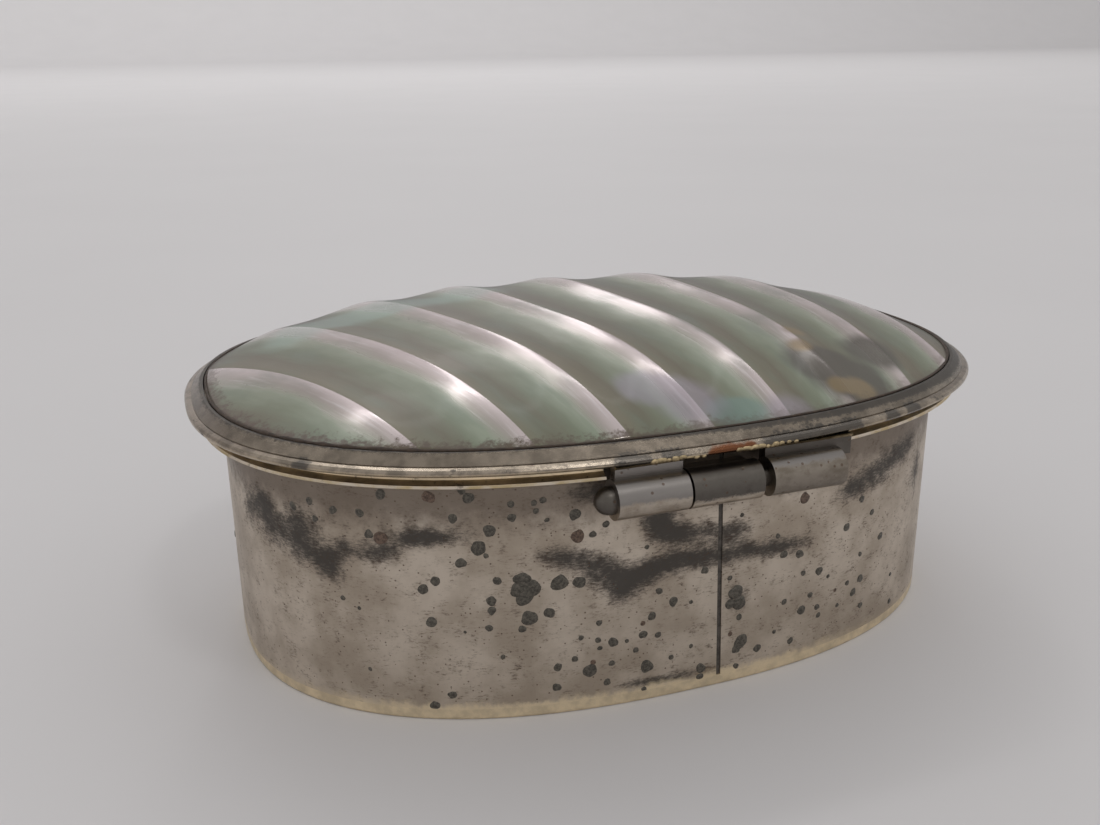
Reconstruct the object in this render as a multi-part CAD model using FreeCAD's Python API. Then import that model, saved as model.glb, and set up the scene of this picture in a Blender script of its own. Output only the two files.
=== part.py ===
import FreeCAD, Part
import math
import os

from FreeCAD import Vector

# Oval pill box with a hinged lid and a carved shell inlay, in millimetres.
# X runs along the box, -Y is the hinge side, Z is up, and the origin is the
# middle of the underside. Every outline is the same oval, drawn at an outset
# measured outwards from the outer face of the body wall.

# Body
BODY_HALF_LENGTH = 20.7
BODY_HALF_WIDTH = 14.7
OVAL_POWER = 2.4
WALL_THICKNESS = 0.6
BASE_THICKNESS = 0.6
BASE_EDGE_RADIUS = 0.15
WALL_TOP = 13.2
BASE_FILLET = 0.5
SEAM_X = 1.3
SEAM_WIDTH = 0.24
SEAM_LEAN = 0.3
SEAM_SINK = 0.06

# Lid metalwork
LID_GAP = 0.05
PLATE_THICKNESS = 0.5
COLLAR_CLEARANCE = 0.15
COLLAR_OUTSET = 0.8
COLLAR_BOTTOM = 12.65
LIP_OUTSET = 1.2
LIP_HEIGHT = 0.2
RIM_UNDERSIDE = 13.42
RIM_INNER_OUTSET = 0.8
BEZEL_OUTSET = 1.46
BEZEL_SHOULDER = 13.96
BEZEL_TOP = 14.35
BEZEL_TOP_OUTSET = 0.95
BEAD_OUTSET = 1.83
BEAD_TOP = 13.88

# Shell inlay and the cement under it
CEMENT_OUTSET = 0.6
CEMENT_THICKNESS = 0.25
SHELL_OUTSET = 0.64
SHELL_EDGE_TOP = 14.32
DOME_HEIGHT = 2.9
DOME_POWER = 3.5
FLUTE_PITCH = 5.08
FLUTE_DEPTH = 0.2
FLUTE_RIDGE_X = -2.06
FLUTE_START_Y = -4.14
FLUTE_LEAN = -0.2
FLUTE_FAN = 0.0158

# Hinge
HINGE_Y = -16.2
HINGE_Z = 11.91
BARREL_RADIUS = 0.95
PIN_RADIUS = 0.45
PIN_CLEARANCE = 0.05
PIN_HEAD_RADIUS = 0.66
PIN_HEAD_SHOULDER = 0.2
LEFT_KNUCKLE = (-5.0, -1.42)
MIDDLE_KNUCKLE = (-1.3, 2.34)
RIGHT_KNUCKLE = (2.87, 6.8)
LEFT_LEAF = (-4.8, -1.42)
RIGHT_LEAF = (2.87, 7.6)
LEAF_THICKNESS = 0.55
LEAF_SOLDER = 0.16
SADDLE_HALF_HEIGHT = 0.6
COLLAR_CUT = (-5.05, 7.8)

OUTLINE_POINTS = 64
PLATE_BOTTOM = WALL_TOP + LID_GAP
PLATE_TOP = PLATE_BOTTOM + PLATE_THICKNESS
SHELL_BOTTOM = PLATE_TOP + CEMENT_THICKNESS
ABOVE_ALL = 30.0


def signed_power(value, power):
    return math.copysign(abs(value) ** power, value)


def oval_wire(outset, height):
    """The box's oval, grown by outset, as one closed smooth curve."""
    length = BODY_HALF_LENGTH + outset
    width = BODY_HALF_WIDTH + outset
    points = []
    for step in range(OUTLINE_POINTS):
        turn = 2 * math.pi * step / OUTLINE_POINTS
        x = length * signed_power(math.cos(turn), 2 / OVAL_POWER)
        y = width * signed_power(math.sin(turn), 2 / OVAL_POWER)
        points.append(Vector(x, y, height))
    curve = Part.BSplineCurve()
    curve.interpolate(Points=points, PeriodicFlag=True)
    return Part.Wire(curve.toShape())


def oval_prism(outset, bottom, top):
    face = Part.Face(oval_wire(outset, bottom))
    return face.extrude(Vector(0, 0, top - bottom))


def oval_stack(profile):
    """A closed solid through ovals given as (outset, height), bottom first."""
    wires = [oval_wire(outset, height) for outset, height in profile]
    return Part.makeLoft(wires, True, True)


def box_between(low, high):
    size = [b - a for a, b in zip(low, high)]
    return Part.makeBox(*size, Vector(*low))


def hinge_cylinder(radius, start, end):
    centre = Vector(start, HINGE_Y, HINGE_Z)
    return Part.makeCylinder(radius, end - start, centre, Vector(1, 0, 0))


def seam_slot():
    """Room for the seam, which leans a little to the right towards the foot."""
    front = -BODY_HALF_WIDTH - 1
    half = SEAM_WIDTH / 2
    corners = [
        Vector(SEAM_X + SEAM_LEAN - half, front, BASE_THICKNESS),
        Vector(SEAM_X + SEAM_LEAN + half, front, BASE_THICKNESS),
        Vector(SEAM_X + half, front, WALL_TOP),
        Vector(SEAM_X - half, front, WALL_TOP),
    ]
    face = Part.Face(Part.makePolygon(corners + corners[:1]))
    return face.extrude(Vector(0, 3, 0))


def wall_tube():
    outer = oval_prism(0, BASE_THICKNESS, WALL_TOP)
    return outer.cut(oval_prism(-WALL_THICKNESS, BASE_THICKNESS, WALL_TOP))


def body_wall():
    """One strip bent to the oval, its two ends meeting on the hinge side."""
    return wall_tube().cut(seam_slot())


def wall_seam_solder():
    """Solder that fills the butt joint, a little below the wall's face."""
    inside = oval_prism(-SEAM_SINK, BASE_THICKNESS, WALL_TOP)
    return wall_tube().common(inside).common(seam_slot())


def base_plate():
    edge = BASE_EDGE_RADIUS
    profile = [(-edge, 0), (-edge * 0.3, edge * 0.3), (0, edge), (0, BASE_THICKNESS)]
    return oval_stack(profile)


def base_solder():
    """Fillet of solder round the inside of the base joint."""
    bottom = BASE_THICKNESS
    top = bottom + BASE_FILLET
    ring = oval_prism(-WALL_THICKNESS, bottom, top)
    hollow = oval_stack([(-WALL_THICKNESS - BASE_FILLET, bottom), (-WALL_THICKNESS - 0.02, top)])
    return ring.cut(hollow)


def lid_plate():
    return oval_prism(RIM_INNER_OUTSET, PLATE_BOTTOM, PLATE_TOP)


def lid_collar():
    """Band under the rim that closes round the wall, with a turned-out lip."""
    lip_top = COLLAR_BOTTOM + LIP_HEIGHT
    profile = [
        (LIP_OUTSET - 0.12, COLLAR_BOTTOM),
        (LIP_OUTSET, COLLAR_BOTTOM + LIP_HEIGHT * 0.4),
        (LIP_OUTSET - 0.06, lip_top),
        (COLLAR_OUTSET, lip_top + 0.16),
        (COLLAR_OUTSET, PLATE_BOTTOM),
    ]
    band = oval_stack(profile)
    band = band.cut(oval_prism(COLLAR_CLEARANCE, COLLAR_BOTTOM - 1, ABOVE_ALL))
    hinge_room = box_between((COLLAR_CUT[0], HINGE_Y - 4, 0), (COLLAR_CUT[1], 0, ABOVE_ALL))
    return band.cut(hinge_room)


def lid_bezel():
    """Setting round the shell, with a bevel that slopes up to its edge."""
    profile = [
        (BEZEL_OUTSET, RIM_UNDERSIDE),
        (BEZEL_OUTSET, BEZEL_SHOULDER - 0.05),
        (BEZEL_OUTSET - 0.06, BEZEL_SHOULDER),
        (BEZEL_TOP_OUTSET, BEZEL_TOP),
    ]
    return oval_stack(profile).cut(oval_prism(RIM_INNER_OUTSET, 0, ABOVE_ALL))


def lid_bead():
    """Half-round wire along the outside of the bezel."""
    middle = (RIM_UNDERSIDE + BEAD_TOP) / 2
    half_height = (BEAD_TOP - RIM_UNDERSIDE) / 2
    bulge = BEAD_OUTSET - BEZEL_OUTSET
    profile = []
    for degrees in (-75, -45, -15, 15, 45, 75):
        turn = math.radians(degrees)
        outset = BEZEL_OUTSET + bulge * math.cos(turn)
        profile.append((outset, middle + half_height * math.sin(turn)))
    return oval_stack(profile).cut(oval_prism(BEZEL_OUTSET, 0, ABOVE_ALL))


def shell_cement():
    return oval_prism(CEMENT_OUTSET, PLATE_TOP, SHELL_BOTTOM)


def shell_top_height(x, y):
    """Height of the carved dome: a pillow crossed by fanned round flutes."""
    length = BODY_HALF_LENGTH + SHELL_OUTSET
    width = BODY_HALF_WIDTH + SHELL_OUTSET
    reach = (abs(x / length) ** OVAL_POWER + abs(y / width) ** OVAL_POWER) ** (1 / OVAL_POWER)
    dome = DOME_HEIGHT * (1 - reach ** DOME_POWER)
    along = y - FLUTE_START_Y
    start = (x - FLUTE_LEAN * along) / (1 + FLUTE_FAN * along)
    wave = math.cos(2 * math.pi * (start - FLUTE_RIDGE_X) / FLUTE_PITCH)
    return SHELL_EDGE_TOP + dome + FLUTE_DEPTH / 2 * wave


def shell_inlay():
    columns = 73
    rows = 31
    half_length = 23.4
    half_width = 17.0
    grid = []
    for column in range(columns):
        x = half_length * (2 * column / (columns - 1) - 1)
        line = []
        for row in range(rows):
            y = half_width * (2 * row / (rows - 1) - 1)
            line.append(Vector(x, y, shell_top_height(x, y)))
        grid.append(line)
    surface = Part.BSplineSurface()
    surface.interpolate(grid)
    under_dome = surface.toShape().extrude(Vector(0, 0, -12))
    return under_dome.common(oval_prism(SHELL_OUTSET, SHELL_BOTTOM, ABOVE_ALL))


def knuckle(span, bore_radius):
    barrel = hinge_cylinder(BARREL_RADIUS, *span)
    return barrel.cut(hinge_cylinder(bore_radius, *span))


def lid_leaf(span, knuckle_span):
    """Strip that joins a lid knuckle to the underside of the rim."""
    inner = -BODY_HALF_WIDTH - RIM_INNER_OUTSET
    low = (span[0], inner - LEAF_THICKNESS, HINGE_Z + BARREL_RADIUS / 2)
    high = (span[1], inner, RIM_UNDERSIDE)
    return box_between(low, high).cut(hinge_cylinder(BARREL_RADIUS, *knuckle_span))


def leaf_solder(span):
    """Run of solder in the corner between a leaf and the rim."""
    face = -BODY_HALF_WIDTH - RIM_INNER_OUTSET - LEAF_THICKNESS
    corner = Vector(span[0], face, RIM_UNDERSIDE)
    outward = corner - Vector(0, LEAF_SOLDER, 0)
    downward = corner - Vector(0, 0, LEAF_SOLDER)
    section = Part.Face(Part.makePolygon([corner, outward, downward, corner]))
    return section.extrude(Vector(span[1] - span[0], 0, 0))


def body_saddle():
    """Block that holds the middle knuckle off the wall."""
    span = MIDDLE_KNUCKLE
    low = (span[0], HINGE_Y, HINGE_Z - SADDLE_HALF_HEIGHT)
    high = (span[1], -BODY_HALF_WIDTH + 1, HINGE_Z + SADDLE_HALF_HEIGHT)
    block = box_between(low, high)
    block = block.cut(oval_prism(0, 0, ABOVE_ALL))
    return block.cut(hinge_cylinder(BARREL_RADIUS, *span))


def hinge_pin():
    """Pin through the three knuckles, with a domed head at the left end."""
    end = LEFT_KNUCKLE[0]
    shaft = hinge_cylinder(PIN_RADIUS, end, RIGHT_KNUCKLE[1])
    shoulder = hinge_cylinder(PIN_HEAD_RADIUS, end - PIN_HEAD_SHOULDER, end)
    centre = Vector(end - PIN_HEAD_SHOULDER, HINGE_Y, HINGE_Z)
    dome = Part.makeSphere(PIN_HEAD_RADIUS, centre, Vector(-1, 0, 0), 0, 90)
    return shaft.fuse([shoulder, dome]).removeSplitter()


def build_nodes():
    return {
        "body_wall": body_wall(),
        "wall_seam_solder": wall_seam_solder(),
        "base_plate": base_plate(),
        "base_solder": base_solder(),
        "body_knuckle": knuckle(MIDDLE_KNUCKLE, PIN_RADIUS + PIN_CLEARANCE),
        "body_saddle": body_saddle(),
        "hinge_pin": hinge_pin(),
        "lid_knuckle_left": knuckle(LEFT_KNUCKLE, PIN_RADIUS),
        "lid_knuckle_right": knuckle(RIGHT_KNUCKLE, PIN_RADIUS),
        "lid_leaf_left": lid_leaf(LEFT_LEAF, LEFT_KNUCKLE),
        "lid_leaf_right": lid_leaf(RIGHT_LEAF, RIGHT_KNUCKLE),
        "leaf_solder_left": leaf_solder(LEFT_LEAF),
        "leaf_solder_right": leaf_solder(RIGHT_LEAF),
        "lid_plate": lid_plate(),
        "lid_collar": lid_collar(),
        "lid_bezel": lid_bezel(),
        "lid_bead": lid_bead(),
        "shell_cement": shell_cement(),
        "shell_inlay": shell_inlay(),
    }


def main():
    os.makedirs("parts", exist_ok=True)
    for name, shape in build_nodes().items():
        solids = shape.Solids
        assert len(solids) == 1 and shape.isValid(), name
        solids[0].exportStep("parts/" + name + ".step")
        box = solids[0].BoundBox
        print(name, round(solids[0].Volume, 2), "mm3", box)


main()
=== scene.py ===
import math
import random

import bmesh
import bpy
from mathutils import Matrix, Vector, noise


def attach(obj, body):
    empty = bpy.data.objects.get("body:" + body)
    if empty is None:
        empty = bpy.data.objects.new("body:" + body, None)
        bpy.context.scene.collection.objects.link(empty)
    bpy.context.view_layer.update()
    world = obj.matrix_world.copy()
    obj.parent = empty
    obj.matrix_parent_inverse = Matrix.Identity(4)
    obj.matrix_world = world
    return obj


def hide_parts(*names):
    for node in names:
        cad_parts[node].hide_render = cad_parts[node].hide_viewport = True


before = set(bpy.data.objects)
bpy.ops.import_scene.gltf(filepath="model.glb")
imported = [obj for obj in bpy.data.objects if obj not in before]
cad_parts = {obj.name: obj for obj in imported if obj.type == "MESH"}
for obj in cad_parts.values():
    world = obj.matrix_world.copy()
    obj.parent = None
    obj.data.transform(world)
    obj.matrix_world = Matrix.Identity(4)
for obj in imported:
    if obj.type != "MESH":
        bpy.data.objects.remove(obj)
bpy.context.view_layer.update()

# Looks of the oval pill box: tarnished nickel silver, yellow solder and a
# carved mother-of-pearl lid. Lengths are in millimetres until they reach a
# mesh or an object, which are in metres. -Y is the hinge side.
MM = 0.001

# The box's oval, as in the part
BODY_HALF_LENGTH = 20.7
BODY_HALF_WIDTH = 14.7
OVAL_POWER = 2.4

# Where the metal's colour changes: heights on the bead, the wall, above which it turns brown and darker
# under the lid with tarnish and painted shade, and the collar's lip, and distances outwards between which
# the wall's inner face begins
BRASSY_BELOW = 13.66
BROWN_AND_SHADE_WALL_FADE = (10.6, 12.6)
COLLAR_LIP_FADE = (12.90, 12.80)
INNER_FACE_FADE = (-0.25, -0.4)

# The shell: a low dome with hollow flutes between narrow crests
SHELL_OUTSET = 0.64
SHELL_BOTTOM = 14.0
SHELL_EDGE_TOP = 14.32
SHELL_AROUND = 480
SHELL_RINGS = 130
DOME_HEIGHT = 2.9
DOME_POWER = 3.5
FLUTE_PITCH = 5.08
FLUTE_RIDGE_X = -2.06
FLUTE_START_Y = -4.14
FLUTE_LEAN = -0.2
FLUTE_FAN = 0.0158
FLUTE_CREST = 0.1
FLUTE_DEPTH = 0.34
FLUTE_FADE = 0.75
FLUTE_FADE_POWER = 5
CREST_ROUNDING = 0.04

# The cement round the shell, thicker at two places: angle round the oval, spread and extra radius
CEMENT_OUTSET = 0.66
CEMENT_HEIGHT = 14.36
CEMENT_AROUND = 640
CEMENT_CORNERS = 6
CEMENT_RADIUS = 0.055
CEMENT_LUMPS = 0.04
CEMENT_LEFT = (3.75, 0.45, 0.10)
CEMENT_RIGHT = (6.05, 0.35, 0.05)

# Camera, fitted to the photograph's outlines
PHOTO_WIDTH = 1100
PHOTO_HEIGHT = 825
SENSOR_WIDTH = 36
FOCAL_PIXELS = 1107.4
CAMERA_DISTANCE = 70.42
CAMERA_ELEVATION = 26.55
CAMERA_AZIMUTH = -21.36
CAMERA_TILT = 8.08
CAMERA_PAN = 1.76
CAMERA_ROLL = -0.20

# The sweep behind the box
FLOOR_FRONT = -3000
FLOOR_BACK = 2400
CURVE_RADIUS = 600
CURVE_STEPS = 12
SWEEP_TOP = 3000
SWEEP_HALF_WIDTH = 5000

# Light from all round, and lights: name, place, width and length, watts, direction of the length, target
SKY_COLOUR = (1, 0.99, 0.985)
SKY_STRENGTH = 0.66
LIGHTS = (
    ("strip", (150, 1009, 919), (170, 1210), 1.1, (-0.41, -0.43, 0.54), (0, 0, 0)),
    ("soft_window", (70, 860, 1230), (900, 900), 0.8, (0, 0, 1), (0, 0, 0)),
    ("lamp", (103, -282, 520), (80, 80), 0.20, (0, 0, 1), (0, 0, 0)),
    ("backdrop", (0, 1200, 1900), (3000, 800), 20.0, (0, 0, 1), (0, 3000, 200)),
)

# Colours, linear
FLOOR_COLOUR = (0.66, 0.645, 0.65)
NICKEL = (0.42, 0.355, 0.285)
NICKEL_PALE = (0.61, 0.535, 0.45)
NICKEL_BROWN = (0.185, 0.15, 0.12)
TARNISH = (0.078, 0.072, 0.066)
TARNISH_PURPLE = (0.24, 0.225, 0.215)
PIT_DARK = (0.085, 0.076, 0.062)
PIT_BROWN = (0.115, 0.078, 0.058)
SEAM_DARK = (0.085, 0.075, 0.065)
YELLOW_SOLDER = (0.62, 0.49, 0.29)
GOLD_FOOT = (0.86, 0.73, 0.52)
BROWN_BRASS = (0.66, 0.55, 0.39)
RUST = (0.17, 0.07, 0.035)
DARK_CEMENT = (0.045, 0.028, 0.018)
PEARL_GREEN = (0.15, 0.19, 0.13)
PEARL_HIGHLIGHT_WHITE = (0.74, 0.70, 0.70)
PEARL_GRIME = (0.10, 0.068, 0.042)

# Colours across one flute, from its low side to the crest: the nacre's own tints, with painted shade on
# the low side and a painted highlight towards the crest
PEARL_TINTS_SHADE_AND_HIGHLIGHT = (
    (0.02, (0.19, 0.172, 0.112)),
    (0.28, (0.14, 0.128, 0.078)),
    (0.52, (0.18, 0.20, 0.130)),
    (0.70, (0.27, 0.30, 0.22)),
    (0.85, (0.42, 0.375, 0.34)),
    (0.96, (0.60, 0.52, 0.51)),
)

# Gloss and iridescence of the shell, the film's thickness in nanometres
PEARL_SHINE = {
    "Coat Weight": 0.12,
    "Coat Roughness": 0.10,
    "Thin Film Thickness": 420,
    "Thin Film IOR": 1.55,
}

# Dark pits on the wall where the photograph has them: x, y and radius in its pixels
PITS = (
    (293, 506, 5), (309, 501, 4.7), (333, 510, 4.7), (315, 519, 4), (359, 513, 4.4), (380, 495, 6),
    (468, 498, 6), (461, 491, 4), (452, 519, 5), (369, 534, 5), (478, 548, 8), (461, 563, 5.4),
    (435, 581, 5.2), (423, 589, 5.6), (343, 598, 3), (359, 608, 2.2), (431, 622, 5.7), (465, 632, 1.7),
    (370, 669, 2.4), (452, 695, 4.4), (435, 705, 4.7), (511, 504, 4.3), (534, 503, 3.3), (543, 500, 3.6),
    (536, 511, 3.3), (512, 518, 4.5), (547, 520, 2.7), (575, 515, 6.5), (606, 524, 4), (593, 534, 4),
    (489, 531, 6.3), (486, 556, 3), (497, 581, 4.3), (491, 601, 5.6), (492, 611, 5), (489, 628, 4),
    (529, 618, 8), (522, 629, 4), (560, 582, 9), (580, 582, 7), (549, 613, 5.6), (503, 657, 2.7),
    (558, 667, 4.5), (575, 659, 3.7), (557, 687, 4.5), (590, 671, 7.5), (612, 663, 3.4), (581, 638, 3.3),
    (598, 640, 3.3), (600, 648, 2.7), (613, 642, 5.5), (599, 623, 3.3), (627, 641, 2.3), (643, 635, 4.6),
    (652, 616, 4.5), (658, 635, 3.7), (636, 650, 3.4), (673, 602, 5.3), (691, 602, 2.3), (659, 591, 4),
    (647, 547, 2.7), (691, 646, 2.5), (671, 657, 3), (647, 666, 6.8), (701, 668, 5.5), (700, 677, 4),
    (607, 682, 4), (644, 689, 3), (705, 570, 4.3), (742, 515, 2.5), (862, 499, 4.3), (872, 512, 3.5),
    (847, 527, 4.5), (880, 536, 4.2), (784, 554, 4.6), (800, 554, 4.8), (778, 536, 3), (860, 554, 3),
    (819, 571, 4.6), (803, 573, 3.3), (828, 576, 2.3), (860, 578, 4.5), (853, 592, 4.5), (847, 583, 3),
    (810, 595, 3.3), (784, 602, 3.6), (801, 610, 5.2), (817, 607, 3.5), (818, 615, 3), (837, 605, 2.3),
    (860, 605, 3.3), (889, 601, 3.2), (890, 574, 2.3), (739, 617, 3.6), (741, 641, 8), (736, 649, 5),
    (757, 648, 4.3), (790, 641, 3.8), (774, 632, 2.3), (736, 666, 3.4), (730, 578, 3),
)
BROWN_PITS = (
    (380, 538, 7), (428, 497, 6.5), (578, 536, 8), (805, 498, 6.5), (730, 634, 3), (593, 662, 3),
    (643, 623, 3), (835, 590, 2.3), (640, 503, 3),
)
BLISTERS = (
    (522, 580, 9), (531, 588, 10), (524, 597, 10), (518, 590, 8), (736, 592, 8), (740, 602, 8),
    (730, 604, 6),
)

# Kinds of pit: name, places, height and colour
PIT_KINDS = (
    ("pits", PITS, 0.035, PIT_DARK),
    ("brown_pits", BROWN_PITS, 0.02, PIT_BROWN),
    ("blisters", BLISTERS, 0.09, PIT_DARK),
)

# Groups of pits on the sides that the photograph doesn't show
GROUP_SIZE = 3
GROUP_SPREAD = 1.2
GROUP_HEIGHTS = (1.5, 12)
HIDDEN_PIT_HEIGHTS = (0.8, 12.3)
HIDDEN_PIT_RADII = (0.08, 0.32)

# Rings of a lump, from its middle outwards: share of its radius and share of its height. A lump with a
# smaller radius than SMALL_LUMP has fewer points around.
LUMP_RINGS = ((0.0, 0.75), (0.45, 1.0), (0.82, 0.7), (1.0, -0.1))
SMALL_LUMP = 0.2

# Lumps of solder along the rim above the hinge: the photograph's columns between which they lie
SOLDER_RUNS = ((655, 706), (740, 800))
SOLDER_PITCH = 7
SOLDER_RADII = (0.14, 0.28)
SOLDER_HEIGHTS = (0.04, 0.09)

# Rows of the photograph between which the bead is looked for, from the lower one upwards
SOLDER_ROWS = (480, 420)
RUST_ROWS = (470, 420)
TARNISH_ROWS = (490, 380)

# Patches of other colours on the shell: x and y in the photograph's pixels and a radius in
# millimetres for each spot, then their colour and strength. The lilac patch and the mint row along
# the far left edge are painted sheen, where the nacre's highlights fall
SHELL_PATCHES = (
    (((728, 414, 1.8), (752, 411, 1.3)), (0.15, 0.25, 0.23), 0.5),
    (((690, 398, 2.4), (640, 385, 1.8), (790, 415, 2.0)), (0.33, 0.29, 0.35), 0.5),
    (((815, 355, 2.2), (840, 372, 2.6), (865, 385, 2.2), (870, 350, 2.4)), (0.085, 0.078, 0.055), 0.9),
    (((802, 344, 1.0), (795, 330, 0.9), (862, 389, 1.2), (840, 384, 0.9)), (0.26, 0.19, 0.09), 0.7),
    (((300, 330, 3.2), (350, 316, 3.2), (400, 302, 3.2), (470, 290, 3.2)), (0.36, 0.50, 0.44), 0.45),
)

# Dark clouds on the wall: x and y in the photograph's pixels, and how far they reach across and up in
# millimetres. The three beneath the knuckles, at 672, 702 and 735, are tarnish and painted shadow of
# the hinge
WALL_CLOUDS = (
    (250, 506, 1.3, 1.6), (268, 522, 1.5, 1.7), (290, 538, 1.7, 1.5), (312, 553, 1.6, 1.5),
    (332, 568, 1.3, 1.2), (300, 520, 2.0, 1.2), (405, 540, 2.2, 0.9), (440, 536, 2.2, 0.8),
    (380, 553, 1.5, 0.9), (345, 548, 1.8, 1.0), (590, 566, 2.0, 1.1), (610, 576, 1.6, 1.3),
    (622, 592, 1.2, 1.3), (640, 576, 1.6, 1.2), (662, 566, 2.0, 1.1), (690, 558, 2.0, 1.1),
    (720, 553, 2.0, 1.1), (755, 549, 2.2, 0.9), (790, 545, 2.2, 0.8), (560, 556, 2.0, 0.8),
    (906, 446, 2.0, 1.5), (888, 462, 2.0, 1.5), (868, 478, 1.9, 1.4), (848, 490, 1.6, 1.0),
    (664, 524, 1.6, 1.2), (655, 518, 1.2, 0.8), (595, 492, 2.4, 1.0), (640, 683, 1.8, 0.5),
    (680, 676, 2.2, 0.5), (737, 597, 1.0, 1.2), (672, 535, 1.6, 0.9), (702, 532, 1.8, 0.9),
    (735, 530, 1.6, 0.9), (262, 500, 1.6, 1.2), (915, 470, 1.2, 2.0),
)
# The stain at the foot, beside the seam, in the same terms
FOOT_STAINS = ((706, 674, 0.9, 0.7),)

# Dark clouds on the sides that the photograph doesn't show: angle round the oval in degrees, height,
# and how far they reach across and up
HIDDEN_CLOUDS = (
    (8, 9.5, 2.2, 1.6), (16, 8.6, 2.2, 1.4), (60, 10.6, 3.0, 1.0), (68, 10.0, 3.0, 1.2),
    (76, 10.8, 3.0, 0.9), (108, 6.0, 1.6, 1.4), (112, 7.2, 1.8, 1.2), (140, 10.2, 2.6, 1.2),
    (150, 9.4, 2.6, 1.3), (163, 9.0, 2.0, 1.2),
)

# Tarnish and rust on the rim: column of the photograph, and how far they reach across in millimetres
RIM_TARNISH = (
    (630, 1.4), (668, 1.6), (780, 1.6), (815, 1.8), (850, 1.6), (893, 1.0), (915, 1.0), (300, 0.8),
)
RIM_RUST = ((716, 0.7), (732, 0.7), (748, 0.7))
TARNISH_REACH_UP = 0.8
RUST_REACH_UP = 0.6


def shaded(colour, factor):
    return tuple(part * factor for part in colour)


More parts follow.
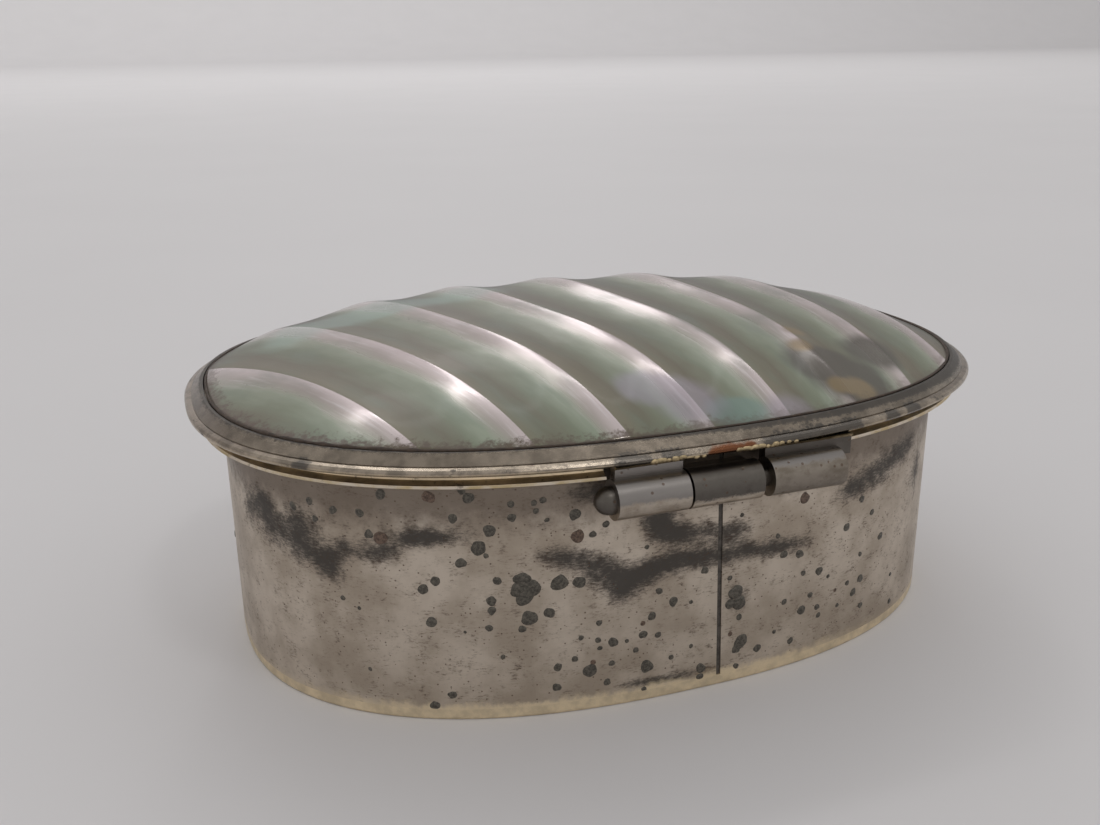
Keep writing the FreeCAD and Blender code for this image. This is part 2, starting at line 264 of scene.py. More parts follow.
class Paint:
    """A material being made, with short ways to add nodes to it."""

    def __init__(self, name):
        self.material = bpy.data.materials.new(name)
        self.material.use_nodes = True
        self.tree = self.material.node_tree
        self.shader = self.tree.nodes["Principled BSDF"]
        coordinates = self.add("TexCoord").outputs["Object"]
        self.place = self.scaled(coordinates, (1 / MM, 1 / MM, 1 / MM))

    def add(self, kind, **settings):
        node = self.tree.nodes.new("ShaderNode" + kind)
        for name, value in settings.items():
            setattr(node, name, value)
        return node

    def put(self, socket, value):
        """Links a socket to another one, or sets it to a number or colour."""
        if isinstance(value, bpy.types.NodeSocket):
            self.tree.links.new(value, socket)
        elif socket.type == "RGBA" and len(value) == 3:
            socket.default_value = (*value, 1)
        else:
            socket.default_value = value

    def maths(self, operation, *values, clamp=False):
        node = self.add("Math", operation=operation, use_clamp=clamp)
        for socket, value in zip(node.inputs, values):
            self.put(socket, value)
        return node.outputs[0]

    def scaled(self, vector, factors, shift=(0, 0, 0)):
        node = self.add("VectorMath", operation="MULTIPLY_ADD")
        self.put(node.inputs[0], vector)
        self.put(node.inputs[1], factors)
        self.put(node.inputs[2], shift)
        return node.outputs[0]

    def axis(self, name):
        node = self.add("SeparateXYZ")
        self.put(node.inputs[0], self.place)
        return node.outputs[name]

    def step(self, value, start, end):
        """0 at start, 1 at end, and smooth between them. The end may be the lower of the two."""
        node = self.add("MapRange", interpolation_type="SMOOTHSTEP")
        rising = start < end
        self.put(node.inputs["Value"], value)
        self.put(node.inputs["From Min"], min(start, end))
        self.put(node.inputs["From Max"], max(start, end))
        self.put(node.inputs["To Min"], 0 if rising else 1)
        self.put(node.inputs["To Max"], 1 if rising else 0)
        return node.outputs["Result"]

    def grain(self, size, stretch=(1, 1, 1), detail=4, roughness=0.55, place=None):
        """Noise from 0 to 1, in lumps about size across."""
        node = self.add("TexNoise")
        factors = [1 / (size * s) for s in stretch]
        self.put(node.inputs["Vector"], self.scaled(place or self.place, factors))
        node.inputs["Scale"].default_value = 1
        node.inputs["Detail"].default_value = detail
        node.inputs["Roughness"].default_value = roughness
        return node.outputs["Fac"]

    def stains(self, size, start, end, stretch=(1, 1, 1), detail=5):
        """Stains about size across, where noise is higher than start, and full where it is past end."""
        return self.step(self.grain(size, stretch, detail=detail, roughness=0.7), start, end)

    def specks(self, size, share):
        """Separate round specks, at most size across, in that share of places."""
        node = self.add("TexVoronoi")
        factors = [1 / (2 * size)] * 3
        self.put(node.inputs["Vector"], self.scaled(self.place, factors))
        node.inputs["Scale"].default_value = 1
        chance = self.add("SeparateColor")
        self.put(chance.inputs[0], node.outputs["Color"])
        chosen = self.step(chance.outputs[0], 1 - share, 1 - share * 0.8)
        spot = self.step(node.outputs["Distance"], 0.26, 0.16)
        return self.maths("MULTIPLY", spot, chosen)

    def mix(self, share, first, second):
        node = self.add("Mix", data_type="RGBA")
        self.put(node.inputs["Factor"], share)
        self.put(node.inputs[6], first)
        self.put(node.inputs[7], second)
        return node.outputs[2]

    def over(self, colour, share, strength, tint):
        """Lays a tint over a colour where share is high, at most as strongly as strength says."""
        return self.mix(self.maths("MULTIPLY", share, strength), colour, tint)

    def ramp(self, value, stops):
        """Colours at rising values, blended between them."""
        node = self.add("ValToRGB")
        self.put(node.inputs[0], value)
        elements = node.color_ramp.elements
        while len(elements) < len(stops):
            elements.new(0.5)
        for element, (position, colour) in zip(elements, stops):
            element.position = position
            element.color = (*colour, 1)
        return node.outputs["Color"]

    def ragged(self, value, texture, gain):
        """A value made uneven by a texture from 0 to 1, up and down alike."""
        return self.maths("MULTIPLY_ADD", texture, gain, self.maths("SUBTRACT", value, gain / 2))

    def blots(self, spots):
        """Sum of soft blots that run together, each given as a place with its radii across and up."""
        total = None
        for place, across, up in spots:
            shift = (-place.x / across, -place.y / across, -place.z / up)
            factors = (1 / across, 1 / across, 1 / up)
            reach = self.add("VectorMath", operation="LENGTH")
            self.put(reach.inputs[0], self.scaled(self.place, factors, shift))
            blot = self.maths("SUBTRACT", 1, reach.outputs["Value"], clamp=True)
            total = blot if total is None else self.maths("ADD", total, blot)
        return total

    def outset(self):
        """Distance outwards from the body's outer face, along the oval's rays."""
        parts = []
        for name, half in (("X", BODY_HALF_LENGTH), ("Y", BODY_HALF_WIDTH)):
            share = self.maths("DIVIDE", self.maths("ABSOLUTE", self.axis(name)), half + SHELL_OUTSET)
            parts.append(self.maths("POWER", share, OVAL_POWER))
        reach = self.maths("POWER", self.maths("ADD", *parts), 1 / OVAL_POWER)
        mean = (BODY_HALF_LENGTH + BODY_HALF_WIDTH) / 2
        return self.maths("MULTIPLY_ADD", self.maths("SUBTRACT", reach, 1), mean, SHELL_OUTSET)

    def relief(self, height, depth):
        node = self.add("Bump")
        node.inputs["Distance"].default_value = depth * MM
        node.inputs["Strength"].default_value = 1
        self.put(node.inputs["Height"], height)
        self.put(self.shader.inputs["Normal"], node.outputs[0])

    def finish(self, colour, roughness, metallic=1.0):
        self.put(self.shader.inputs["Base Color"], colour)
        self.put(self.shader.inputs["Roughness"], roughness)
        self.put(self.shader.inputs["Metallic"], metallic)
        return self.material


def make_camera():
    elevation = math.radians(CAMERA_ELEVATION)
    azimuth = math.radians(CAMERA_AZIMUTH)
    level = math.cos(elevation)
    back = Vector((math.sin(azimuth) * level, -math.cos(azimuth) * level, math.sin(elevation)))
    turn = (-back).to_track_quat("-Z", "Y").to_matrix()
    for degrees, axis in ((CAMERA_TILT, "X"), (CAMERA_PAN, "Y"), (CAMERA_ROLL, "Z")):
        turn = turn @ Matrix.Rotation(math.radians(degrees), 3, axis)
    data = bpy.data.cameras.new("camera")
    data.sensor_fit = "HORIZONTAL"
    data.sensor_width = SENSOR_WIDTH
    data.lens = FOCAL_PIXELS / PHOTO_WIDTH * SENSOR_WIDTH
    data.clip_start = 0.001
    data.clip_end = 10
    camera = bpy.data.objects.new("camera", data)
    camera.matrix_world = Matrix.Translation(back * CAMERA_DISTANCE * MM) @ turn.to_4x4()
    bpy.context.scene.collection.objects.link(camera)
    bpy.context.scene.camera = camera


def seen_at(node, x, y, top=None):
    """Place on a node that the photograph shows at a pixel, with its normal.

    Where the pixel misses the node, it looks upwards from y as far as top.
    """
    view = bpy.context.scene.camera.matrix_world
    top = y if top is None else top
    while y >= top:
        across = (x - PHOTO_WIDTH / 2) / FOCAL_PIXELS
        up = (PHOTO_HEIGHT / 2 - y) / FOCAL_PIXELS
        direction = (view.to_3x3() @ Vector((across, up, -1))).normalized()
        hit, place, normal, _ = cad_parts[node].ray_cast(view.translation, direction)
        if hit:
            return place / MM, normal
        y -= 1
    raise ValueError(f"nothing of {node} at {x}, {y}")


def wall_spots(spots):
    """Places on the wall for spots given by pixel, with how far they reach."""
    return [(seen_at("body_wall", x, y)[0], across, up) for x, y, across, up in spots]


def rim_spots(columns, rows, up):
    """Places on the bead for columns of the photograph, with how far they reach."""
    return [(seen_at("lid_bead", x, rows[0], rows[1])[0], across, up) for x, across in columns]


def add_light(name, place, size, power, top, target):
    """Rectangular light that faces its target, with its long side along top."""
    data = bpy.data.lights.new(name, "AREA")
    data.shape = "RECTANGLE"
    data.size, data.size_y = (side * MM for side in size)
    data.energy = power
    light = bpy.data.objects.new(name, data)
    back = (Vector(place) - Vector(target)).normalized()
    right = Vector(top).cross(back).normalized()
    turn = Matrix((right, back.cross(right), back)).transposed()
    light.matrix_world = Matrix.Translation(Vector(place) * MM) @ turn.to_4x4()
    light.visible_camera = False
    bpy.context.scene.collection.objects.link(light)


def make_stage():
    """Pale sweep: a floor that curves up into a wall far behind the box."""
    profile = [(FLOOR_FRONT, 0), (FLOOR_BACK, 0)]
    for step in range(1, CURVE_STEPS + 1):
        turn = math.radians(90 * step / CURVE_STEPS)
        profile.append((FLOOR_BACK + CURVE_RADIUS * math.sin(turn), CURVE_RADIUS * (1 - math.cos(turn))))
    profile.append((FLOOR_BACK + CURVE_RADIUS, SWEEP_TOP))
    mesh = bmesh.new()
    rows = []
    for x in (-SWEEP_HALF_WIDTH, SWEEP_HALF_WIDTH):
        rows.append([mesh.verts.new((x * MM, y * MM, z * MM)) for y, z in profile])
    for left, right, next_right, next_left in zip(rows[0], rows[1], rows[1][1:], rows[0][1:]):
        mesh.faces.new((left, right, next_right, next_left)).smooth = True
    sweep = add_mesh("sweep", mesh)
    paint = Paint("pale_floor")
    paint.put(paint.shader.inputs["Specular IOR Level"], 0.5)
    colour = paint.mix(paint.grain(60, detail=2), shaded(FLOOR_COLOUR, 0.95), FLOOR_COLOUR)
    sweep.data.materials.append(paint.finish(colour, 0.65, 0.0))


def make_lights():
    world = bpy.data.worlds.new("studio")
    world.use_nodes = True
    background = world.node_tree.nodes["Background"]
    background.inputs["Color"].default_value = (*SKY_COLOUR, 1)
    background.inputs["Strength"].default_value = SKY_STRENGTH
    bpy.context.scene.world = world
    for light in LIGHTS:
        add_light(*light)


def add_mesh(name, mesh):
    data = bpy.data.meshes.new(name)
    mesh.normal_update()
    mesh.to_mesh(data)
    piece = bpy.data.objects.new(name, data)
    bpy.context.scene.collection.objects.link(piece)
    return piece


def add_piece(name, mesh, body, material):
    """New piece of the box that moves with a body and takes the finish of a slot."""
    piece = add_mesh(name, mesh)
    piece.data.materials.append(material)
    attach(piece, body)
    return piece


def join_rows(mesh, inner, outer, smooth=True):
    """Faces between two closed rows of points, or between one point and a row."""
    for step, point in enumerate(outer):
        after = outer[(step + 1) % len(outer)]
        if isinstance(inner, list):
            corners = (inner[step], point, after, inner[(step + 1) % len(inner)])
        else:
            corners = (inner, point, after)
        mesh.faces.new(corners).smooth = smooth


def oval_point(angle, outset, height=0.0):
    """Place on the oval that stands outset beyond the body's outer face."""
    across = math.cos(angle)
    along = math.sin(angle)
    x = math.copysign(abs(across) ** (2 / OVAL_POWER), across) * (BODY_HALF_LENGTH + outset)
    y = math.copysign(abs(along) ** (2 / OVAL_POWER), along) * (BODY_HALF_WIDTH + outset)
    return Vector((x, y, height))


def shell_height(place):
    """Height of the shell's top above or below a place."""
    length = abs(place.x) / (BODY_HALF_LENGTH + SHELL_OUTSET)
    width = abs(place.y) / (BODY_HALF_WIDTH + SHELL_OUTSET)
    reach = (length ** OVAL_POWER + width ** OVAL_POWER) ** (1 / OVAL_POWER)
    along = place.y - FLUTE_START_Y
    start = (place.x - FLUTE_LEAN * along) / (1 + FLUTE_FAN * along)
    turns = (start - FLUTE_RIDGE_X) / FLUTE_PITCH
    from_crest = math.hypot(turns - round(turns), CREST_ROUNDING) - CREST_ROUNDING
    hollow = 1 - (1 - 2 * from_crest) ** 2
    depth = FLUTE_DEPTH * (1 - FLUTE_FADE * reach ** FLUTE_FADE_POWER)
    return SHELL_EDGE_TOP + DOME_HEIGHT * (1 - reach ** DOME_POWER) + FLUTE_CREST - depth * hollow


def make_shell():
    """Carved shell with its crests cut crisply, in place of the solid's smooth waves."""
    mesh = bmesh.new()
    middle = Vector((0, 0, 0))
    middle.z = shell_height(middle)
    last = None
    for ring in range(1, SHELL_RINGS + 1):
        row = []
        for step in range(SHELL_AROUND):
            place = oval_point(math.tau * step / SHELL_AROUND, SHELL_OUTSET) * (ring / SHELL_RINGS)
            place.z = shell_height(place)
            row.append(mesh.verts.new(place * MM))
        join_rows(mesh, last or mesh.verts.new(middle * MM), row)
        last = row
    foot = [mesh.verts.new((v.co.x, v.co.y, SHELL_BOTTOM * MM)) for v in last]
    join_rows(mesh, last, foot, smooth=False)
    mesh.faces.new(foot[::-1])
    shell = add_piece("carved_shell", mesh, "lid", shell_paint())
    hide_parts("shell_inlay")


def add_lump(mesh, node, place, normal, radius, height, chance):
    """Irregular low lump that hugs the surface of a node."""
    side = normal.orthogonal().normalized()
    other = normal.cross(side)
    seed = chance.uniform(0, 50)
    count = 10 if radius < SMALL_LUMP else 18
    last = None
    for share, lift in LUMP_RINGS:
        row = []
        for step in range(count if share else 1):
            turn = math.tau * step / count
            arm = side * math.cos(turn) + other * math.sin(turn)
            wobble = 1 + 0.35 * noise.noise(arm * 0.9 + Vector((seed, 0, 0)))
            rise = 1 + 0.5 * noise.noise(arm * share * 2 + Vector((0, seed, 0)))
            spot = place + arm * radius * share * wobble
            _, on, out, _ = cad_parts[node].closest_point_on_mesh(spot * MM)
            row.append(mesh.verts.new(on + out * lift * rise * height * MM))
        if last:
            join_rows(mesh, last if len(last) > 1 else last[0], row)
        last = row


def add_hidden_pits(mesh, eye, height, chance):
    """Group of pits on the wall, of which those that the photograph would show are left out."""
    middle = oval_point(chance.uniform(0, math.tau), 0, chance.uniform(*GROUP_HEIGHTS))
    lowest, highest = HIDDEN_PIT_HEIGHTS
    for _ in range(GROUP_SIZE):
        place = middle + Vector([chance.gauss(0, GROUP_SPREAD) for _ in range(3)])
        _, on, out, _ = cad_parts["body_wall"].closest_point_on_mesh(place * MM)
        hidden = out.dot(eye * MM - on) < 0 and out.dot(on) > 0
        if hidden and lowest < on.z / MM < highest and abs(out.z) < 0.1:
            add_lump(mesh, "body_wall", on / MM, out, chance.uniform(*HIDDEN_PIT_RADII), height, chance)


def make_pits():
    """Corroded pits on the wall, where the photograph shows them and scattered on the other sides."""
    chance = random.Random(11)
    view = bpy.context.scene.camera.matrix_world
    eye = view.translation / MM
    forward = -view.to_3x3().col[2]
    for name, spots, height, colour in PIT_KINDS:
        mesh = bmesh.new()
        for x, y, radius in spots:
            place, normal = seen_at("body_wall", x, y)
            scale = (place - eye).dot(forward) / FOCAL_PIXELS
            add_lump(mesh, "body_wall", place, normal, radius * scale, height, chance)
        for _ in spots:
            add_hidden_pits(mesh, eye, height, chance)
        add_piece("wall_" + name, mesh, "box", pit_paint(name, colour))


def cement_radius(angle, place):
    """Radius of the cement's bead at a place: lumpy, and thicker at the left and the right."""
    lump = 0.5 + 0.5 * noise.noise(place * 1.4) + 0.35 * noise.noise(place * 4.1)
    left_angle, left_spread, left_extra = CEMENT_LEFT
    right_angle, right_spread, right_extra = CEMENT_RIGHT
    left = math.exp(-((angle - left_angle) / left_spread) ** 2)
    right = math.exp(-((angle - right_angle) / right_spread) ** 2)
    return CEMENT_RADIUS + CEMENT_LUMPS * lump + left_extra * lump * left + right_extra * right


def make_cement_edge():
    """Dark cement that has squeezed up between the shell and its setting."""
    mesh = bmesh.new()
    rows = []
    for step in range(CEMENT_AROUND):
        angle = math.tau * step / CEMENT_AROUND
        place = oval_point(angle, CEMENT_OUTSET, CEMENT_HEIGHT)
        outwards = Vector((place.x, place.y * 1.6, 0)).normalized()
        radius = cement_radius(angle, place)
        row = []
        for corner in range(CEMENT_CORNERS):
            turn = math.tau * corner / CEMENT_CORNERS
            offset = outwards * math.cos(turn) * radius + Vector((0, 0, math.sin(turn) * radius * 0.8))
            row.append(mesh.verts.new((place + offset) * MM))
        rows.append(row)
    for row, after in zip(rows, rows[1:] + rows[:1]):
        join_rows(mesh, row, after)
    mesh.normal_update()
    bmesh.ops.recalc_face_normals(mesh, faces=mesh.faces)
    add_piece("cement_edge", mesh, "lid", dark_paint("cement_edge", DARK_CEMENT, 0.0, 0.7))


def make_hinge_solder():
    """Lumps of yellow solder where the leaves meet the rim."""
    mesh = bmesh.new()
    chance = random.Random(5)
    for left, right in SOLDER_RUNS:
        for x in range(left, right, SOLDER_PITCH):
            place, normal = seen_at("lid_bead", x, *SOLDER_ROWS)
            radius = chance.uniform(*SOLDER_RADII)
            height = chance.uniform(*SOLDER_HEIGHTS)
            add_lump(mesh, "lid_bead", place, normal, radius, height, chance)
    add_piece("hinge_solder", mesh, "lid", solder_paint("rim_solder"))


def pit_paint(name, colour):
    """Dark corrosion with a dull shine."""
    paint = Paint(name)
    lumps = paint.grain(0.14, detail=5, roughness=0.7)
    mixed = paint.mix(paint.step(lumps, 0.35, 0.65), shaded(colour, 0.6), shaded(colour, 1.6))
    paint.relief(lumps, 0.03)
    return paint.finish(mixed, 0.38, 0.45)


def wall_paint(clouds, foot_stains):
    """Nickel silver, pale and scratched low down, browner and darker under the lid (tarnish and painted
    shade), with dark clouds, a few of them also the hinge's painted shadow, and a yellow foot.
    """
    paint = Paint("wall")
    height = paint.axis("Z")
    fine = paint.grain(0.09, (3, 3, 1), detail=5, roughness=0.75)
    scratches = paint.grain(0.07, (1, 1, 9), detail=3, roughness=0.7)
    broad = paint.grain(3.0, detail=4)
    patchy = paint.grain(0.8, detail=6, roughness=0.65)
    colour = paint.mix(paint.step(broad, 0.35, 0.68), NICKEL, NICKEL_PALE)
    colour = paint.over(colour, paint.step(patchy, 0.5, 0.75), 0.3, NICKEL)

    # Browner and darker under the lid: tarnish, and painted shade of the lid's overhang
    shade = paint.maths("MULTIPLY_ADD", patchy, 2.4, height)
    colour = paint.over(colour, paint.step(shade, *BROWN_AND_SHADE_WALL_FADE), 0.85, NICKEL_BROWN)
    uneven = paint.maths("MULTIPLY_ADD", fine, 2.0, -1.0)
    uneven = paint.ragged(uneven, patchy, 1.4)
    # Dark clouds; those beneath the knuckles are also the hinge's painted shadow
    cloud = paint.maths("ADD", paint.blots(clouds), uneven)
    colour = paint.over(colour, paint.step(cloud, -0.05, 0.85), 0.5, NICKEL_BROWN)
    cloud = paint.step(cloud, 0.25, 1.15)
    colour = paint.over(colour, cloud, 0.92, TARNISH)

    colour = paint.over(colour, paint.step(fine, 0.58, 0.72), 0.22, NICKEL_BROWN)
    specks = paint.specks(0.10, 0.16)
    colour = paint.over(colour, specks, 0.8, PIT_BROWN)
    stain = paint.step(paint.maths("ADD", paint.blots(foot_stains), uneven), 0.1, 0.6)
    colour = paint.over(colour, stain, 0.7, PIT_BROWN)

    edge = paint.maths("MULTIPLY_ADD", patchy, 1.2, paint.maths("SUBTRACT", 0.45, height))
    from_middle = paint.maths("ABSOLUTE", paint.maths("ADD", paint.axis("X"), 4))
    gold = paint.maths("MULTIPLY_ADD", paint.step(from_middle, 17.0, 8.0), 0.75, 0.15)
    colour = paint.over(colour, paint.step(edge, 0.0, 0.5), gold, GOLD_FOOT)

    inside = paint.step(paint.outset(), *INNER_FACE_FADE)
    plain = paint.mix(paint.step(broad, 0.35, 0.65), NICKEL, NICKEL_PALE)
    colour = paint.mix(inside, colour, plain)
    rough = paint.maths("MULTIPLY_ADD", cloud, 0.12, paint.maths("MULTIPLY_ADD", patchy, 0.2, 0.34))
    lumps = paint.maths("MULTIPLY_ADD", scratches, 0.5, paint.maths("MULTIPLY", patchy, 0.9))
    paint.relief(paint.maths("MULTIPLY_ADD", specks, -0.8, lumps), 0.014)
    return paint.finish(colour, rough)


def plain_nickel(name, dark_above=None, dark=TARNISH_PURPLE, yellow=0.0, shade=1.0):
    """Nickel silver with soft stains, dark above a ragged line where a height for it is given."""
    paint = Paint(name)
    fine = paint.grain(0.10, detail=5, roughness=0.7)
    patchy = paint.grain(0.8, (1.6, 1, 1), detail=5, roughness=0.65)
    colour = paint.mix(paint.step(patchy, 0.35, 0.65), shaded(NICKEL, shade), shaded(NICKEL_PALE, shade))
    if yellow:
        colour = paint.mix(yellow, colour, YELLOW_SOLDER)
    colour = paint.over(colour, paint.stains(0.5, 0.58, 0.70), 0.55, NICKEL_BROWN)
    if dark_above is not None:
        line = paint.ragged(paint.axis("Z"), patchy, 0.7)
        line = paint.maths("MULTIPLY_ADD", fine, 0.3, line)
        colour = paint.over(colour, paint.step(line, dark_above, dark_above + 0.22), 0.9, dark)
    specks = paint.specks(0.17, 0.3)
    colour = paint.over(colour, specks, 0.75, PIT_BROWN)
    paint.relief(paint.maths("MULTIPLY_ADD", specks, -0.7, patchy), 0.012)
    return paint.finish(colour, paint.maths("MULTIPLY_ADD", fine, 0.2, 0.26))


def add_rim_marks(paint, colour, texture, rust, tarnish):
    """Black and rusty marks on the rim, with edges made ragged by a texture."""
    black = paint.ragged(paint.blots(tarnish), texture, 1.8)
    colour = paint.over(colour, paint.step(black, 0.2, 0.5), 0.85, TARNISH)
    rusty = paint.ragged(paint.blots(rust), texture, 1.2)
    return paint.mix(paint.step(rusty, 0.15, 0.5), colour, RUST)


def bezel_paint(rust, tarnish):
    """Bevelled setting, dark and spiky next to the shell."""
    paint = Paint("bezel")
    fine = paint.grain(0.07, detail=4, roughness=0.7)
    spikes = paint.grain(0.14, (1.6, 1.6, 1), detail=5, roughness=0.75)
    patchy = paint.grain(1.1, detail=4)
    colour = paint.mix(paint.step(patchy, 0.35, 0.65), shaded(NICKEL, 0.38), shaded(NICKEL, 0.62))
    reach = paint.maths("MULTIPLY_ADD", spikes, 0.55, paint.maths("SUBTRACT", 1.18, paint.outset()))
    to_the_right = paint.step(paint.axis("X"), -8.0, 9.0)
    reach = paint.maths("MULTIPLY_ADD", to_the_right, 0.32, paint.maths("SUBTRACT", reach, 0.42))
    dark = paint.step(reach, 0.02, 0.16)
    colour = paint.over(colour, dark, 0.85, TARNISH)
    colour = paint.over(colour, paint.stains(0.6, 0.60, 0.70), 0.6, NICKEL_BROWN)
    colour = add_rim_marks(paint, colour, spikes, rust, tarnish)
    paint.relief(paint.maths("MULTIPLY_ADD", spikes, 0.6, fine), 0.010)
    return paint.finish(colour, paint.maths("MULTIPLY_ADD", dark, 0.2, 0.27))


def bead_paint(rust, tarnish):
    """Half-round bead, brassy underneath, with dark stains."""
    paint = Paint("bead")
    fine = paint.grain(0.08, detail=4, roughness=0.7)
    patchy = paint.grain(0.9, detail=5, roughness=0.7)
    colour = paint.mix(paint.step(patchy, 0.35, 0.6), shaded(NICKEL, 0.5), shaded(NICKEL, 0.85))
    below = paint.maths("SUBTRACT", BRASSY_BELOW, paint.axis("Z"))
    low = paint.maths("MULTIPLY_ADD", patchy, 0.25, below)
    colour = paint.over(colour, paint.step(low, 0.05, 0.25), 0.7, BROWN_BRASS)
    stain = paint.stains(0.45, 0.58, 0.68, (2, 2, 1))
    colour = paint.over(colour, stain, 0.7, TARNISH)
    colour = add_rim_marks(paint, colour, patchy, rust, tarnish)
    paint.relief(fine, 0.006)
    return paint.finish(colour, paint.maths("MULTIPLY_ADD", stain, 0.25, 0.24))


def collar_paint():
    """Golden-brown band with a paler lip."""
    paint = Paint("collar")
    patchy = paint.grain(0.8, (2, 2, 1), detail=5, roughness=0.65)
    colour = paint.mix(paint.step(patchy, 0.35, 0.68), BROWN_BRASS, shaded(BROWN_BRASS, 1.5))
    lip = paint.step(paint.axis("Z"), *COLLAR_LIP_FADE)
    # The lip is paler than the band
    pale_lip = paint.mix(paint.step(patchy, 0.4, 0.6), NICKEL_PALE, shaded(YELLOW_SOLDER, 0.8))
    colour = paint.mix(lip, colour, pale_lip)
    colour = paint.over(colour, paint.stains(0.5, 0.60, 0.70), 0.7, NICKEL_BROWN)
    paint.relief(patchy, 0.01)
    return paint.finish(colour, paint.maths("MULTIPLY_ADD", patchy, 0.25, 0.25))


def solder_paint(name):
    """Yellow solder with brown stains."""
    paint = Paint(name)
    patchy = paint.grain(0.5, detail=5, roughness=0.7)
    colour = paint.mix(paint.step(patchy, 0.3, 0.7), shaded(YELLOW_SOLDER, 0.55), YELLOW_SOLDER)
    colour = paint.over(colour, paint.stains(0.25, 0.60, 0.72, detail=4), 0.6, NICKEL_BROWN)
    paint.relief(patchy, 0.03)
    return paint.finish(colour, 0.38)


def foot_paint():
    """Yellow where the solder shows round the foot, and dull nickel silver inside."""
    paint = Paint("foot")
    patchy = paint.grain(0.8, detail=5, roughness=0.6)
    broad = paint.grain(4.0, detail=3)
    varied = paint.step(patchy, 0.3, 0.7)
    colour = paint.mix(varied, shaded(NICKEL, 0.8), NICKEL_PALE)
    colour = paint.over(colour, paint.step(broad, 0.5, 0.65), 0.5, NICKEL_BROWN)
    edge = paint.maths("MULTIPLY_ADD", patchy, 0.6, paint.maths("ADD", paint.outset(), 0.25))
    yellow = paint.mix(varied, shaded(GOLD_FOOT, 0.75), GOLD_FOOT)
    colour = paint.mix(paint.step(edge, 0.0, 0.3), colour, yellow)
    paint.relief(patchy, 0.01)
    return paint.finish(colour, paint.maths("MULTIPLY_ADD", broad, 0.2, 0.32))


def dark_paint(name, colour, metallic, roughness):
    """Uneven dark stuff, such as cement or a blackened seam."""
    paint = Paint(name)
    lumps = paint.grain(0.35, detail=5, roughness=0.7)
    mixed = paint.mix(paint.step(lumps, 0.3, 0.7), shaded(colour, 0.6), shaded(colour, 1.5))
    paint.relief(lumps, 0.03)
    return paint.finish(mixed, roughness, metallic)


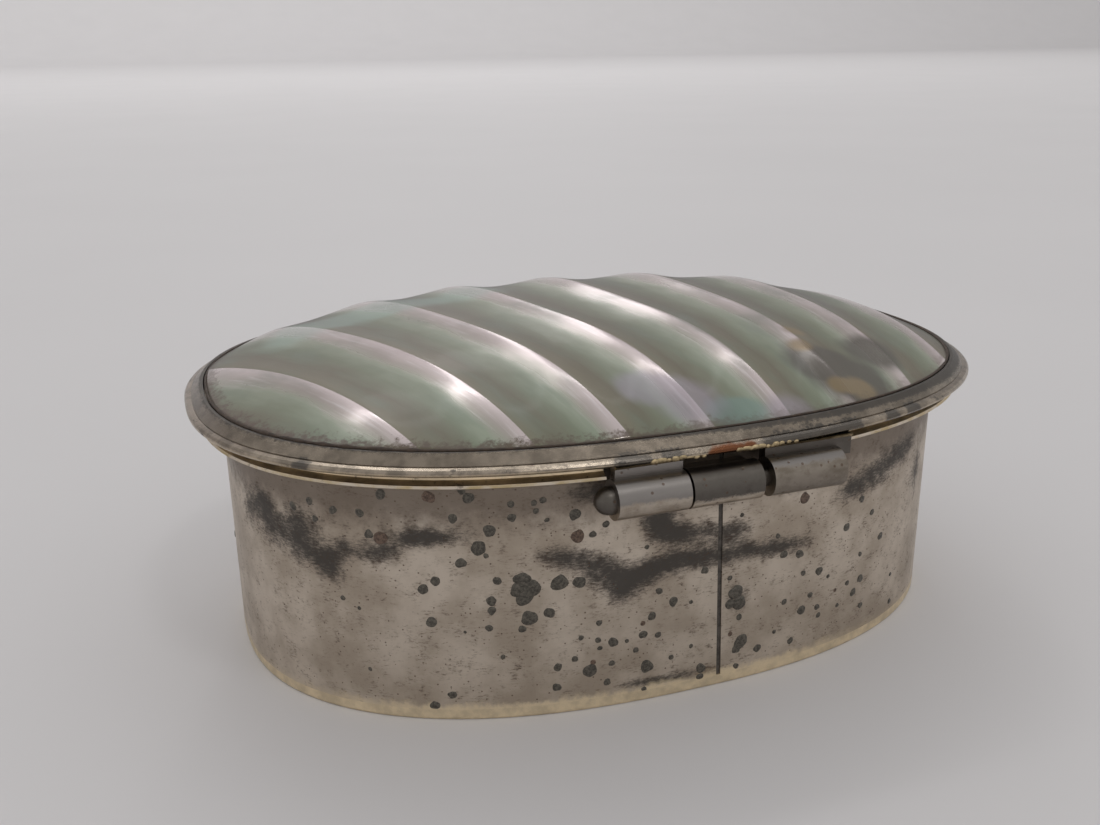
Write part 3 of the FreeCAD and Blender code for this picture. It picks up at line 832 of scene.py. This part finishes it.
def shell_paint():
    """Polished mother-of-pearl: olive hollows with painted shade, pink and white towards the crests with
    painted highlights, and coloured patches, two of them painted sheen.
    """
    paint = Paint("pearl")
    along = paint.maths("SUBTRACT", paint.axis("Y"), FLUTE_START_Y)
    lean = paint.maths("MULTIPLY_ADD", along, -FLUTE_LEAN, paint.axis("X"))
    start = paint.maths("DIVIDE", lean, paint.maths("MULTIPLY_ADD", along, FLUTE_FAN, 1))
    turns = paint.maths("DIVIDE", paint.maths("SUBTRACT", start, FLUTE_RIDGE_X), FLUTE_PITCH)
    on_flute = paint.add("CombineXYZ")
    paint.put(on_flute.inputs["X"], start)
    paint.put(on_flute.inputs["Y"], along)
    flute = on_flute.outputs[0]
    soft = paint.grain(3.0, (0.8, 2.0, 1), detail=3, place=flute)
    streak = paint.grain(0.22, (1, 16, 1), detail=4, roughness=0.6, place=flute)
    waver = paint.maths("MULTIPLY_ADD", paint.grain(1.6, (1, 2.5, 1), detail=3, place=flute), 1.2, 0.4)
    share = paint.maths("POWER", paint.maths("FRACT", turns), waver)
    flank = paint.step(share, 0.62, 0.86)
    # The nacre's tints across the flute, with painted shade low down and a painted highlight near the
    # crest
    colour = paint.ramp(share, PEARL_TINTS_SHADE_AND_HIGHLIGHT)
    colour = paint.over(colour, paint.step(soft, 0.45, 0.7), 0.45, PEARL_GREEN)
    # Painted highlight: white streaks along the flutes close to the crests
    painted_highlight = paint.maths("MULTIPLY", paint.step(streak, 0.5, 0.75), paint.step(share, 0.6, 0.95))
    colour = paint.over(colour, painted_highlight, 0.5, PEARL_HIGHLIGHT_WHITE)
    # Patches of colour; the lilac patch and the mint row are painted sheen
    for spots, tint, strength in SHELL_PATCHES:
        places = [(seen_at("shell_inlay", x, y)[0], across, across) for x, y, across in spots]
        patch = paint.ragged(paint.blots(places), soft, 0.8)
        colour = paint.over(colour, paint.step(patch, 0.05, 0.6), strength, tint)

    grime = paint.maths("MULTIPLY_ADD", paint.grain(0.35, detail=5, roughness=0.7), 2.2, paint.outset())
    left = paint.step(paint.axis("X"), 6.0, -6.0)
    amount = paint.maths("MULTIPLY_ADD", left, 0.6, 0.3)
    colour = paint.over(colour, paint.step(grime, 1.1, 1.7), amount, PEARL_GRIME)
    for socket, value in PEARL_SHINE.items():
        paint.shader.inputs[socket].default_value = value
    paint.relief(streak, 0.006)
    rough = paint.maths("MULTIPLY_ADD", flank, -0.30, paint.maths("MULTIPLY_ADD", soft, 0.16, 0.40))
    return paint.finish(colour, rough, paint.maths("MULTIPLY_ADD", flank, 0.35, 0.15))


def dress(node, material):
    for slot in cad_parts[node].material_slots:
        slot.link = "OBJECT"
        slot.material = material


bpy.context.scene.view_settings.view_transform = "Standard"
make_camera()
make_stage()
make_lights()

clouds = wall_spots(WALL_CLOUDS)
for turn, height, across, up in HIDDEN_CLOUDS:
    clouds.append((oval_point(math.radians(turn), 0, height), across, up))
rust = rim_spots(RIM_RUST, RUST_ROWS, RUST_REACH_UP)
tarnish = rim_spots(RIM_TARNISH, TARNISH_ROWS, TARNISH_REACH_UP)
finishes = {
    "body_wall": wall_paint(clouds, wall_spots(FOOT_STAINS)),
    "wall_seam_solder": dark_paint("seam", SEAM_DARK, 0.6, 0.5),
    "base_plate": foot_paint(),
    "base_solder": solder_paint("inside_solder"),
    "body_knuckle": plain_nickel("middle_knuckle", 11.6, TARNISH),
    "body_saddle": plain_nickel("saddle", 0.0, TARNISH),
    "hinge_pin": plain_nickel("pin", 11.2, TARNISH),
    "lid_knuckle_left": plain_nickel("left_knuckle", 12.0, shade=0.8),
    "lid_knuckle_right": plain_nickel("right_knuckle", 12.6, shade=0.44),
    "lid_leaf_left": plain_nickel("left_leaf", 0.0),
    "lid_leaf_right": plain_nickel("right_leaf", 0.0, TARNISH),
    "leaf_solder_left": solder_paint("left_solder"),
    "leaf_solder_right": solder_paint("right_solder"),
    "lid_plate": plain_nickel("plate", yellow=0.12),
    "lid_collar": collar_paint(),
    "lid_bezel": bezel_paint(rust, tarnish),
    "lid_bead": bead_paint(rust, tarnish),
    "shell_cement": dark_paint("cement", DARK_CEMENT, 0.0, 0.8),
}
for node, material in finishes.items():
    dress(node, material)
make_shell()
make_pits()
make_cement_edge()
make_hinge_solder()
